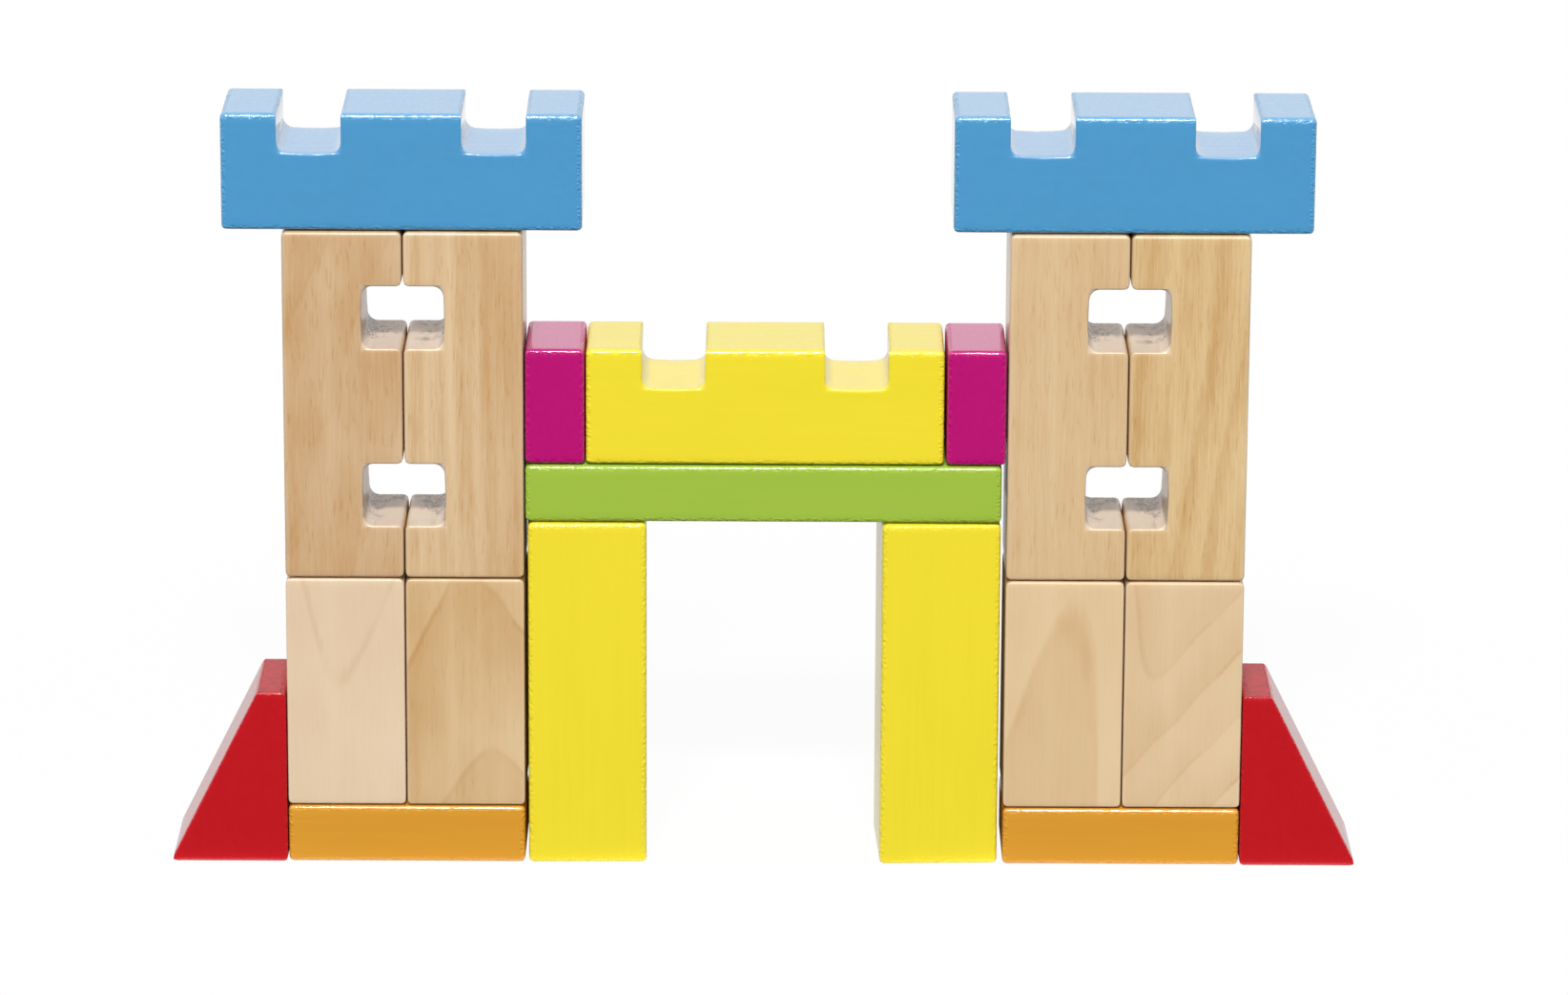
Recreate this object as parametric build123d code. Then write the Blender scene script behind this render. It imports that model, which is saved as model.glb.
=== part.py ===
from build123d import *

import os
from math import cos, radians, sin

# A castle stacked from loose wooden toy blocks: two towers with windows, a gate between
# them and a sloping buttress against each tower. Millimetres, +Z up. The origin is on the
# floor at the middle of the castle, +X runs to the right along its front and the front
# faces -Y. Every block is cut from the same square stock and has rounded edges.

# Driving dimensions: the plain blocks
block_width = 30.0
block_depth = 30.0
short_block_height = 60.0
pillar_height = 90.0
plank_thickness = 15.0
half_block_width = 15.0

# Driving dimensions: the notched block, which lies down as a battlement and stands on end
# as half of a tower's windows
end_merlon_length = 14.0
middle_merlon_length = 30.0
notch_width = 16.0
notch_depth = 10.0
notch_corner_radius = 2.5

# Driving dimensions: the buttress
buttress_foot = 30.0
buttress_top = 7.5
buttress_height = 45.0

# Driving dimensions: rounded edges. Paint leaves the lip of a notch sharper.
painted_edge_radius = 1.3
painted_lip_radius = 0.7
natural_edge_radius = 1.5
natural_lip_radius = 1.6

# Clearances between loose blocks: side by side, beside the right half block on both its
# sides, and between one course and the next
seam_gap = 0.3
half_block_gap = 0.6
gate_slack = 0.4
course_gap = 0.1

# How far blocks stand out of line, as a hand sets them down
left_pillar_turn = 1.2
right_pillar_turn = 2.2
right_battlement_offset = 0.6

# Sizes that follow from the driving dimensions
notched_length = 2 * end_merlon_length + 2 * notch_width + middle_merlon_length
tower_width = 2 * block_width + seam_gap
lintel_length = notched_length + 2 * half_block_width

# Heights of the courses
tower_short_level = plank_thickness + course_gap
tower_window_level = tower_short_level + short_block_height + course_gap
tower_battlement_level = tower_window_level + notched_length + course_gap
lintel_level = pillar_height + course_gap
gate_battlement_level = lintel_level + plank_thickness + course_gap

# Widths along the front, laid out from left to right
gate_row_length = (
    half_block_width + seam_gap + notched_length + half_block_gap + half_block_width
)
gate_width = seam_gap + gate_row_length + gate_slack
castle_width = 2 * (buttress_foot + seam_gap + tower_width) + gate_width

left_buttress_x = -castle_width / 2
left_tower_x = left_buttress_x + buttress_foot + seam_gap
gate_x = left_tower_x + tower_width
lintel_x = gate_x + seam_gap
gate_battlement_x = lintel_x + half_block_width + seam_gap
right_half_block_x = gate_battlement_x + notched_length + half_block_gap
right_tower_x = gate_x + gate_width
right_buttress_x = right_tower_x + tower_width + seam_gap
battlement_overhang = (notched_length - tower_width) / 2


def turned_reach(turn):
    """Half the width that a block takes up along the front when it stands turned."""
    angle = radians(turn)
    return (block_width * cos(angle) + block_depth * sin(angle)) / 2


left_pillar_reach = turned_reach(left_pillar_turn)
right_pillar_reach = turned_reach(right_pillar_turn)
left_pillar_x = lintel_x + left_pillar_reach
right_pillar_x = lintel_x + lintel_length - right_pillar_reach


def cut_block(corners, corner_radii, edge_radius):
    """Cut a block to a front outline (x, z) and round its front and back edges."""
    outline = make_face(FilletPolyline(*corners, radius=corner_radii, close=True))
    block = extrude(Plane.XZ * outline, amount=block_depth / 2, both=True)
    edges_front_to_back = block.edges().group_by(Axis.Y)
    return fillet(edges_front_to_back[0] + edges_front_to_back[-1], edge_radius)


def plain_block(length, height, edge_radius):
    """A straight block with its lower left corner at x = 0, z = 0."""
    corners = [(0, 0), (length, 0), (length, height), (0, height)]
    return cut_block(corners, [edge_radius] * len(corners), edge_radius)


def notched_block(edge_radius, lip_radius):
    """A long block that lies down with two notches in its upper face."""
    notch_floor = block_width - notch_depth
    corners = [(0, 0), (notched_length, 0), (notched_length, block_width)]
    corner_radii = [edge_radius] * len(corners)
    for right_wall_x in (
        notched_length - end_merlon_length,
        end_merlon_length + notch_width,
    ):
        left_wall_x = right_wall_x - notch_width
        corners += [
            (right_wall_x, block_width),
            (right_wall_x, notch_floor),
            (left_wall_x, notch_floor),
            (left_wall_x, block_width),
        ]
        corner_radii += [lip_radius, notch_corner_radius, notch_corner_radius, lip_radius]
    corners.append((0, block_width))
    corner_radii.append(edge_radius)
    return cut_block(corners, corner_radii, edge_radius)


def buttress():
    """A wedge whose upright side is on the right and whose slope falls to the left."""
    corners = [
        (0, 0),
        (buttress_foot, 0),
        (buttress_foot, buttress_height),
        (buttress_foot - buttress_top, buttress_height),
    ]
    return cut_block(corners, [painted_edge_radius] * len(corners), painted_edge_radius)


battlement = notched_block(painted_edge_radius, painted_lip_radius)
window_block = notched_block(natural_edge_radius, natural_lip_radius)
window_facing_right = Pos(0, 0, notched_length) * Rot(0, 90, 0) * window_block
window_facing_left = Pos(block_width, 0, 0) * Rot(0, -90, 0) * window_block
short_block = plain_block(block_width, short_block_height, natural_edge_radius)
base_plank = plain_block(tower_width, plank_thickness, painted_edge_radius)
lintel = plain_block(lintel_length, plank_thickness, painted_edge_radius)
half_block = plain_block(half_block_width, block_width, painted_edge_radius)
pillar = Pos(-block_width / 2, 0, 0) * plain_block(
    block_width, pillar_height, painted_edge_radius
)
left_wedge = buttress()
right_wedge = mirror(left_wedge, about=Plane.YZ)

castle = {}

# Each tower from the floor up: base plank, two short blocks, two window blocks, battlement
towers = {
    "left": {"x": left_tower_x, "blocks": ("outer", "inner"), "offset": 0.0},
    "right": {
        "x": right_tower_x,
        "blocks": ("inner", "outer"),
        "offset": right_battlement_offset,
    },
}
for side, tower in towers.items():
    left_name, right_name = tower["blocks"]
    second_x = tower["x"] + block_width + seam_gap
    battlement_x = tower["x"] - battlement_overhang + tower["offset"]
    castle[f"{side}_base_plank"] = Pos(tower["x"], 0, 0) * base_plank
    for name, x in ((left_name, tower["x"]), (right_name, second_x)):
        castle[f"{side}_tower_{name}_short_block"] = Pos(x, 0, tower_short_level) * short_block
    castle[f"{side}_tower_{left_name}_window_block"] = (
        Pos(tower["x"], 0, tower_window_level) * window_facing_right
    )
    castle[f"{side}_tower_{right_name}_window_block"] = (
        Pos(second_x, 0, tower_window_level) * window_facing_left
    )
    castle[f"{side}_tower_battlement"] = (
        Pos(battlement_x, 0, tower_battlement_level) * battlement
    )

# The gate: pillars, lintel and the row that stands on it
castle["left_gate_pillar"] = Pos(left_pillar_x, 0, 0) * Rot(0, 0, left_pillar_turn) * pillar
castle["right_gate_pillar"] = Pos(right_pillar_x, 0, 0) * Rot(0, 0, right_pillar_turn) * pillar
castle["gate_lintel"] = Pos(lintel_x, 0, lintel_level) * lintel
castle["gate_battlement"] = Pos(gate_battlement_x, 0, gate_battlement_level) * battlement
castle["left_half_block"] = Pos(lintel_x, 0, gate_battlement_level) * half_block
castle["right_half_block"] = Pos(right_half_block_x, 0, gate_battlement_level) * half_block

# The buttresses against the outer sides of the towers
castle["left_buttress"] = Pos(left_buttress_x, 0, 0) * left_wedge
castle["right_buttress"] = Pos(right_buttress_x + buttress_foot, 0, 0) * right_wedge

os.makedirs("parts", exist_ok=True)
for node, solid in castle.items():
    export_step(solid, f"parts/{node}.step")
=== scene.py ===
import math

import bmesh
import bpy
from bpy.props import FloatProperty, FloatVectorProperty, PointerProperty
from mathutils import Matrix, Vector, noise


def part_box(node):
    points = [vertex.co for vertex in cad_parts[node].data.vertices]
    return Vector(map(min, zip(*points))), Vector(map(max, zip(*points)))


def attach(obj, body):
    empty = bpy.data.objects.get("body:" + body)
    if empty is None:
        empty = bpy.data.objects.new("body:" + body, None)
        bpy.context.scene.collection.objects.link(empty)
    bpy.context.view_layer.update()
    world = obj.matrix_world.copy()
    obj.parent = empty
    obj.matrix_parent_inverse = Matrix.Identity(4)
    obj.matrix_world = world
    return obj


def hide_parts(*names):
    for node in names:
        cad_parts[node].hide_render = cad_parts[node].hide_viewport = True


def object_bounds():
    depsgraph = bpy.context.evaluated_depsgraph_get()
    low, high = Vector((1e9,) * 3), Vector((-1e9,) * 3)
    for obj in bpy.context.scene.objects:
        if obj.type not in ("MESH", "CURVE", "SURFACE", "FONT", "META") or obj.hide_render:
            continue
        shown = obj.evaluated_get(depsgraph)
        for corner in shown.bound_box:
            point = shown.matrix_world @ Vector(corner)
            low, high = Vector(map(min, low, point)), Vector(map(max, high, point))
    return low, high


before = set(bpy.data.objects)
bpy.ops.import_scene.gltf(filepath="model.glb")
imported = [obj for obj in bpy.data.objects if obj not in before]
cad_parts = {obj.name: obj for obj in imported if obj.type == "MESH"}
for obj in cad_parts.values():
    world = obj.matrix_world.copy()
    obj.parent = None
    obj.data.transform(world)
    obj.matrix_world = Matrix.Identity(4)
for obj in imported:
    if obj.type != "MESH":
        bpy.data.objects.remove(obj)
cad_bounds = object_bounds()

# A castle of loose wooden toy blocks: two towers of natural wood with painted battlements,
# a painted gate between them and a painted buttress against each tower. Every block is cut
# to a front outline, swept through its depth, rounded on all its edges, softened by hand
# sanding and given its own wood figure or coat of paint.

bl_info = {
    "name": "Toy Block Castle",
    "version": (1, 0, 0),
    "blender": (4, 5, 0),
    "location": "View3D > Sidebar > Castle",
    "description": "Builds and finishes the blocks of a wooden toy castle",
    "category": "Object",
}

MM = 0.001
ACROSS, DEEP, UP = 0, 1, 2

# How a block's skin is cut: the segments round each edge, the spacing of the cuts across its
# faces, where the cuts beside its edges and its slope lie, and how near two points are one.
ROUNDING_SEGMENTS = 5
CUT_SPACING = 4.5 * MM
BESIDE_EDGE = (0.4 * MM, 1.6 * MM)
BESIDE_SLOPE = (0.3 * MM, 1.6 * MM)
SAME_POINT = 1e-7

# How far above a worn underside, or below a sagging floor, the skin gives way with it.
SAG_REACH = 3.0 * MM

# Where the cuts beside a notch's walls, above its corners and below its floor lie.
BESIDE_WALL = (0.5 * MM, 1.2 * MM)
ABOVE_CORNER = 0.1 * MM
BELOW_FLOOR = (0.5 * MM, 1.1 * MM, SAG_REACH)

# A notch's floor: how far from its level and its walls it still counts as part of it, its sag
# in the middle and what the ragged lips add to that (millimetres), and the lips' own sizes.
FLOOR_TOP, FLOOR_BOTTOM, WALL_MARGIN = 0.3 * MM, 0.2 * MM, 0.1 * MM
FLOOR_SAG, LIP_SAG = 0.14, 0.26
LIP_DEPTH, RAGGED_STEP, LIP_MARGIN = 1.2 * MM, 1.7 * MM, 0.6 * MM

# Sanding: the lengths of its slow and its quick changes, what share of it they take off an
# edge and off a flat face, and how far a point's faces turn from it on an edge.
SLOW_SANDING, QUICK_SANDING = 14 * MM, 4 * MM
SLOW_ON_EDGE, QUICK_ON_EDGE, SLOW_ON_FACE = 0.45, 0.3, 0.12
EDGE_TURN = math.radians(4)

# A buttress's end grain lies this near its top, and it stands this far inside its CAD block.
RAW_END_DEPTH = 0.2 * MM
BUTTRESS_INSET = 0.05 * MM


def cad_size(node):
    """How wide, deep and high a CAD block is."""
    low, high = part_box(node)
    return high - low


# ---------------------------------------------------------------- sizes and colours


def block_length(name, description, length, least=0.1 * MM):
    """A length property that the blocks are cut or rounded to."""
    return FloatProperty(
        name=name, description=description, default=length, min=least, unit="LENGTH"
    )


class CastleSizes(bpy.types.PropertyGroup):
    """Sizes that every block is cut and rounded to."""

    block_depth: block_length(
        "Block depth",
        "Depth of every block from front to back",
        cad_size("left_base_plank").y,
    )
    block_width: block_length(
        "Block width",
        "Width of the square stock",
        cad_size("left_tower_outer_short_block").x,
    )
    end_merlon: block_length(
        "End merlon", "Length of a notched block from its end to its first notch", 14 * MM
    )
    notch_width: block_length(
        "Notch width", "Width of each notch in a battlement or window block", 16 * MM
    )
    notch_depth: block_length(
        "Notch depth", "Depth of each notch below the face that it is cut in", 10 * MM
    )
    notch_corner: block_length(
        "Notch corner", "Radius of the cutter where a notch's walls meet its floor", 2.5 * MM
    )
    painted_edge: block_length(
        "Painted edge", "Rounding of a painted block's edges", 1.3 * MM
    )
    painted_rim: block_length(
        "Painted rim",
        "Rounding where a painted block's sides meet its front and back faces",
        1.05 * MM,
    )
    painted_notch_rim: block_length(
        "Painted notch rim",
        "Rounding where a painted notch meets the front and back faces",
        0.25 * MM,
    )
    painted_lip: block_length(
        "Painted lip", "Rounding of a painted notch's lips", 0.7 * MM
    )
    natural_edge: block_length(
        "Natural edge", "Rounding of a natural block's edges", 1.5 * MM
    )
    natural_rim: block_length(
        "Natural rim",
        "Rounding where a natural block's sides meet its front and back faces",
        0.8 * MM,
    )
    natural_fine_rim: block_length(
        "Natural fine rim",
        "Rounding round a short block's faces and where a natural notch meets them",
        0.5 * MM,
    )
    natural_lip: block_length(
        "Natural lip", "Rounding of a natural notch's lips", 1.6 * MM
    )
    buttress_rim: block_length(
        "Buttress rim", "Rounding round a buttress's front and back faces", 0.45 * MM
    )
    buttress_top: block_length(
        "Buttress top", "Width of the flat top of a buttress", 7.5 * MM
    )
    buttress_tip: block_length(
        "Buttress tip", "Rounding of a buttress's sharp corner", 1.40 * MM
    )
    course_seam: block_length(
        "Course seam",
        "How far a block's worn underside is above its CAD block's",
        0.32 * MM,
        least=0.0,
    )
    sanding: block_length(
        "Sanding",
        "Most that sanding takes off an edge beyond its rounding",
        0.12 * MM,
        least=0.0,
    )
    left_pillar_turn: FloatProperty(
        name="Left pillar turn",
        description="How far the left pillar stands out of line",
        default=math.radians(1.2),
        subtype="ANGLE",
    )
    right_pillar_turn: FloatProperty(
        name="Right pillar turn",
        description="How far the right pillar stands out of line",
        default=math.radians(2.2),
        subtype="ANGLE",
    )


def paint_colour(name, description, colour):
    """A colour property of one paint or wood tone."""
    return FloatVectorProperty(
        name=name,
        description=description,
        subtype="COLOR",
        size=3,
        min=0.0,
        max=1.0,
        default=colour,
    )


class CastleColours(bpy.types.PropertyGroup):
    """Colours of the paints and of the natural wood."""

    blue: paint_colour("Blue", "Paint of the tower battlements", (0.076, 0.336, 0.628))
    yellow: paint_colour("Yellow", "Paint of the gate", (0.895, 0.738, 0.034))
    green: paint_colour("Green", "Paint of the lintel", (0.358, 0.532, 0.058))
    orange: paint_colour("Orange", "Paint of the base planks", (0.740, 0.340, 0.034))
    magenta: paint_colour("Magenta", "Paint of the half blocks", (0.506, 0.006, 0.175))
    red: paint_colour("Red", "Paint of the buttresses", (0.545, 0.009, 0.015))
    cream_wood: paint_colour(
        "Cream wood", "Palest tone of the natural wood", (0.784, 0.611, 0.425)
    )
    tan_wood: paint_colour(
        "Tan wood", "Deepest tone of the natural wood", (0.548, 0.319, 0.145)
    )


class CastleStage(bpy.types.PropertyGroup):
    """Camera and lights round the castle."""

    camera_distance: FloatProperty(
        name="Camera distance",
        description="How far the camera stands in front of the castle",
        default=1.8,
        min=0.5,
        unit="LENGTH",
    )
    key_power: FloatProperty(
        name="Key lamp", description="Power of the high front lamp", default=400.0, min=0.0
    )
    fill_power: FloatProperty(
        name="Fill lamp", description="Power of the wide front lamp", default=79.0, min=0.0
    )
    room_level: FloatProperty(
        name="Room level", description="Brightness of the white room", default=0.55, min=0.0
    )


# ---------------------------------------------------------------- cutting and rounding


def notch_marks(sizes, length):
    """Where each notch starts and ends along a notched block."""
    first = sizes.end_merlon
    second = length - sizes.end_merlon - sizes.notch_width
    return [(first, first + sizes.notch_width), (second, second + sizes.notch_width)]


def plain_outline(length, height, edge):
    """Corners (along, up, rounding) of a straight block."""
    return [(0, 0, edge), (length, 0, edge), (length, height, edge), (0, height, edge)]


def notched_outline(sizes, length, height, edge, lip):
    """Corners (along, up, rounding) of a long block with two notches in its upper face."""
    floor = height - sizes.notch_depth
    corners = [(0, 0, edge), (length, 0, edge), (length, height, edge)]
    for start, end in reversed(notch_marks(sizes, length)):
        corners += [
            (end, height, lip),
            (end, floor, sizes.notch_corner),
            (start, floor, sizes.notch_corner),
            (start, height, lip),
        ]
    return corners + [(0, height, edge)]


def wedge_outline(sizes, height, slope_on_left):
    """Corners (along, up, rounding) of a buttress with one sloping side."""
    foot, top = sizes.block_width, sizes.buttress_top
    edge, tip = sizes.painted_edge, sizes.buttress_tip
    if slope_on_left:
        return [(0, 0, tip), (foot, 0, edge), (foot, height, edge), (foot - top, height, edge)]
    return [(0, 0, edge), (foot, 0, tip), (top, height, edge), (0, height, edge)]


def rounding_reach(outline, index):
    """How far the rounding of an outline's corner runs back along its two sides."""
    along, up, radius = outline[index]
    corner = Vector((along, up))
    before = Vector(outline[index - 1][:2]) - corner
    after = Vector(outline[(index + 1) % len(outline)][:2]) - corner
    return radius / math.tan(before.angle(after) / 2)


def face_outwards(bm):
    """Turn every face of a closed skin outwards."""
    bmesh.ops.recalc_face_normals(bm, faces=bm.faces[:])
    if bm.calc_volume(signed=True) < 0.0:
        bmesh.ops.reverse_faces(bm, faces=bm.faces[:])


def cut_blank(outline, depth, rim, notch_rim):
    """Sweep an outline through the block's depth and mark how round each edge will be."""
    height = max(corner[1] for corner in outline)
    bm = bmesh.new()
    reach = bm.verts.layers.float.new("reach")
    corners = []
    for index, (along, up, _) in enumerate(outline):
        corner = bm.verts.new((along, -depth / 2, up))
        corner[reach] = rounding_reach(outline, index)
        corners.append(corner)
    front = bm.faces.new(corners)
    swept = bmesh.ops.extrude_face_region(bm, geom=[front])["geom"]
    back = [part for part in swept if isinstance(part, bmesh.types.BMVert)]
    bmesh.ops.translate(bm, vec=(0, depth, 0), verts=back)
    face_outwards(bm)
    widest = max(corner[reach] for corner in corners)
    weight = bm.edges.layers.float.new("bevel_weight_edge")
    for edge in bm.edges:
        start, end = edge.verts
        if abs(start.co.y - end.co.y) > MM:
            edge[weight] = start[reach] / widest
        elif any(MM < corner.co.z < height - MM for corner in edge.verts):
            edge[weight] = notch_rim / widest
        else:
            edge[weight] = rim / widest
    return bm, widest


def round_edges(bm, widest):
    """Round every edge of a blank by its own weight."""
    mesh = bpy.data.meshes.new("blank")
    bm.to_mesh(mesh)
    bm.free()
    blank = bpy.data.objects.new("blank", mesh)
    bpy.context.scene.collection.objects.link(blank)
    rounding = blank.modifiers.new("Rounding", "BEVEL")
    rounding.limit_method = "WEIGHT"
    rounding.offset_type = "OFFSET"
    rounding.width = widest
    rounding.segments = ROUNDING_SEGMENTS
    rounding.profile = 0.5
    rounding.use_clamp_overlap = False
    rounding.miter_inner = "MITER_SHARP"
    graph = bpy.context.evaluated_depsgraph_get()
    rounded = bpy.data.meshes.new_from_object(blank.evaluated_get(graph))
    result = bmesh.new()
    result.from_mesh(rounded)
    bpy.data.objects.remove(blank)
    bpy.data.meshes.remove(mesh)
    bpy.data.meshes.remove(rounded)
    return result


def even_marks(low, high, rim):
    """Cutting marks: two close to each end, and even ones between them."""
    near, far = BESIDE_EDGE
    inner_low, inner_high = low + rim + far, high - rim - far
    marks = [low + rim + near, high - rim - near]
    count = max(1, round((inner_high - inner_low) / CUT_SPACING))
    step = (inner_high - inner_low) / count
    return marks + [inner_low + step * index for index in range(count + 1)]


def marks_along_notches(sizes, length):
    """Cutting marks beside each notch's walls, and about 1 mm apart along its floor."""
    marks = []
    corner = sizes.notch_corner
    for start, end in notch_marks(sizes, length):
        for beside in BESIDE_WALL:
            marks += [start - beside, end + beside]
        count = round((end - start - 2 * corner) / MM)
        step = (end - start - 2 * corner) / count
        marks += [start + corner + step * index for index in range(count + 1)]
    return marks


def marks_round_floor(sizes, height):
    """Cutting marks just above the notches' rounded corners and below their floors."""
    floor = height - sizes.notch_depth
    return [floor + sizes.notch_corner + ABOVE_CORNER] + [floor - below for below in BELOW_FLOOR]


def cut_skin(bm, place, normal):
    """Cut the whole skin of a block along a plane, so that it can take gentle shapes."""
    bmesh.ops.bisect_plane(
        bm,
        geom=bm.verts[:] + bm.edges[:] + bm.faces[:],
        dist=SAME_POINT,
        plane_co=place,
        plane_no=normal,
    )


def cut_across(bm, axis, marks):
    """Cut a block's skin across one axis at each mark."""
    normal = Vector((0, 0, 0))
    normal[axis] = 1
    for mark in marks:
        cut_skin(bm, normal * mark, normal)


def cut_beside_slope(bm, outline, rim):
    """Cut the skin just inside each slanting side of an outline."""
    for index, corner in enumerate(outline):
        start, end = Vector(outline[index - 1][:2]), Vector(corner[:2])
        side = (end - start).normalized()
        slanting = min(abs(side.x), abs(side.y)) > 0.01
        if slanting:
            inwards = Vector((-side.y, 0, side.x))
            for beside in BESIDE_SLOPE:
                inside = rim + beside
                cut_skin(bm, Vector((start.x, 0, start.y)) + inwards * inside, inwards)


def unit_noise(place):
    """Smooth noise between 0 and 1."""
    return 0.5 + 0.5 * noise.noise(place)


def floor_sag(place, share, seed, sizes):
    """How far a notch's floor sags at a place: more, and unevenly, at its lips."""
    ragged = unit_noise(Vector((place.x / RAGGED_STEP, seed, 0)))
    at_lip = abs(place.y) > sizes.block_depth / 2 - LIP_DEPTH
    sag = FLOOR_SAG + (LIP_SAG * ragged if at_lip else 0.0)
    return sag * MM * math.sin(math.pi * share) ** 2


def mark_notches(bm, sizes, length, height, seed):
    """Mark the walls and floors of the notches. The floors sag and have uneven lips."""
    sawn = bm.verts.layers.float.new("sawn")
    end_grain = bm.verts.layers.float.new("end_grain")
    scorch = bm.verts.layers.float.new("scorch")
    floor = height - sizes.notch_depth
    notches = notch_marks(sizes, length)
    for vert in bm.verts:
        along, up = vert.co.x, vert.co.z
        for start, end in notches:
            beside = not start - WALL_MARGIN < along < end + WALL_MARGIN
            if beside or up < floor - SAG_REACH:
                continue
            share = (along - start) / (end - start)
            below = min(1.0, max(0.0, floor - up) / SAG_REACH)
            on_floor = up < floor + FLOOR_TOP
            if on_floor:
                vert.co.z -= floor_sag(vert.co, share, seed, sizes) * (1 - below) ** 2
            if up > floor - FLOOR_BOTTOM:
                inside = 1.0 - max(0.0, up - floor) / sizes.notch_depth
                behind = 0.5 + vert.co.y / sizes.block_depth
                vert[sawn] = 1.0
                vert[end_grain] = 0.0 if on_floor else 1.0
                vert[scorch] = min(1.0, 0.25 + inside) * (0.15 + 0.85 * behind)


def edge_share(vert):
    """1 on a rounded edge, 0 on a flat face."""
    normals = [face.normal for face in vert.link_faces]
    most = max(vert.normal.angle(normal, 0.0) for normal in normals)
    return min(1.0, most / EDGE_TURN)


def sand_skin(bm, seed, sanding):
    """Take a little off the skin: more on the edges, unevenly along them. Only inwards."""
    face_outwards(bm)
    bm.normal_update()
    worn_and_sheen = bm.verts.layers.float.new("worn_edge_and_sheen")
    shift = Vector((seed * 3.7, seed * 1.3, seed * 2.1))
    moves = []
    for vert in bm.verts:
        # This edge mask also places the painted highlight on the natural wood's edges.
        vert[worn_and_sheen] = edge_share(vert)
        slow = unit_noise(vert.co / SLOW_SANDING + shift)
        quick = unit_noise(vert.co / QUICK_SANDING - shift)
        on_edge = SLOW_ON_EDGE * slow + QUICK_ON_EDGE * quick
        take = vert[worn_and_sheen] * on_edge + SLOW_ON_FACE * slow
        moves.append((vert, vert.normal * (-sanding * take)))
    for vert, move in moves:
        vert.co += move


def calm_notch_lips(bm, sizes, length, height):
    """Keep the paint even on the thin lips of the notches."""
    worn_and_sheen = bm.verts.layers.float["worn_edge_and_sheen"]
    floor = height - sizes.notch_depth
    for vert in bm.verts:
        if not floor - LIP_MARGIN < vert.co.z < height - 2 * LIP_MARGIN:
            continue
        for start, end in notch_marks(sizes, length):
            if start - LIP_MARGIN < vert.co.x < end + LIP_MARGIN:
                vert[worn_and_sheen] = 0.0


def block_skin(node, outline, rim, sizes, notch_rim=0.0):
    """A finished block lying with its lower left corner at the origin, front at -Y."""
    depth = sizes.block_depth
    notched = notch_rim > 0.0
    blank, widest = cut_blank(outline, depth, rim, notch_rim)
    bm = round_edges(blank, widest)
    length = max(corner[0] for corner in outline)
    height = max(corner[1] for corner in outline)
    along = even_marks(0, length, rim)
    up = even_marks(0, height, rim)
    if notched:
        along += marks_along_notches(sizes, length)
        up += marks_round_floor(sizes, height)
    cut_across(bm, ACROSS, along)
    cut_across(bm, UP, up)
    cut_across(bm, DEEP, even_marks(-depth / 2, depth / 2, rim))
    cut_beside_slope(bm, outline, rim)
    if notched:
        mark_notches(bm, sizes, length, height, SEEDS[node])
    sand_skin(bm, SEEDS[node], sizes.sanding)
    for face in bm.faces:
        face.smooth = True
    return bm


LEFT, RIGHT, TOP, BOTTOM = (-1, 0, 0), (1, 0, 0), (0, 0, 1), (0, 0, -1)
# The sides that other blocks or the floor lie against. They are dull.
CONTACT_SIDES = {
    "left_base_plank": (LEFT, RIGHT, TOP, BOTTOM),
    "right_base_plank": (LEFT, RIGHT, TOP, BOTTOM),
    "left_tower_outer_short_block": (RIGHT, TOP, BOTTOM),
    "left_tower_inner_short_block": (LEFT, RIGHT, TOP, BOTTOM),
    "right_tower_inner_short_block": (LEFT, RIGHT, TOP, BOTTOM),
    "right_tower_outer_short_block": (LEFT, TOP, BOTTOM),
    "left_tower_outer_window_block": (RIGHT, TOP, BOTTOM),
    "left_tower_inner_window_block": (LEFT, TOP, BOTTOM),
    "right_tower_inner_window_block": (RIGHT, TOP, BOTTOM),
    "right_tower_outer_window_block": (LEFT, TOP, BOTTOM),
    "left_tower_battlement": (BOTTOM,),
    "right_tower_battlement": (BOTTOM,),
    "left_gate_pillar": (LEFT, TOP, BOTTOM),
    "right_gate_pillar": (RIGHT, TOP, BOTTOM),
    "gate_lintel": (LEFT, RIGHT, TOP, BOTTOM),
    "gate_battlement": (LEFT, RIGHT, BOTTOM),
    "left_half_block": (LEFT, RIGHT, BOTTOM),
    "right_half_block": (LEFT, RIGHT, BOTTOM),
    "left_buttress": (RIGHT, BOTTOM),
    "right_buttress": (LEFT, BOTTOM),
}
# How squarely a point of a flat side faces the way that the side does.
FLAT_FACING = 0.97
# Each block's own number, which its uneven wear starts from.
SEEDS = {node: number for number, node in enumerate(CONTACT_SIDES, 1)}


def mark_contacts(bm, node):
    """Mark the flat sides that lie against other blocks."""
    contact = bm.verts.layers.float.new("contact")
    sawn = bm.verts.layers.float.get("sawn")
    sides = [Vector(side) for side in CONTACT_SIDES[node]]
    bm.normal_update()
    for vert in bm.verts:
        facing = max(vert.normal.dot(side) for side in sides)
        cut = sawn is not None and vert[sawn] > 0.5
        vert[contact] = 1.0 if facing > FLAT_FACING and not cut else 0.0


def lift_underside(bm, node, seam):
    """Raise the underside of a block that lies on others, so that a thin dark seam shows."""
    ground = cad_bounds[0].z
    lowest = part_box(node)[0].z
    if lowest < ground + MM:
        return
    for vert in bm.verts:
        above = vert.co.z - lowest
        vert.co.z += seam * max(0.0, 1.0 - above / SAG_REACH)


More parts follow.
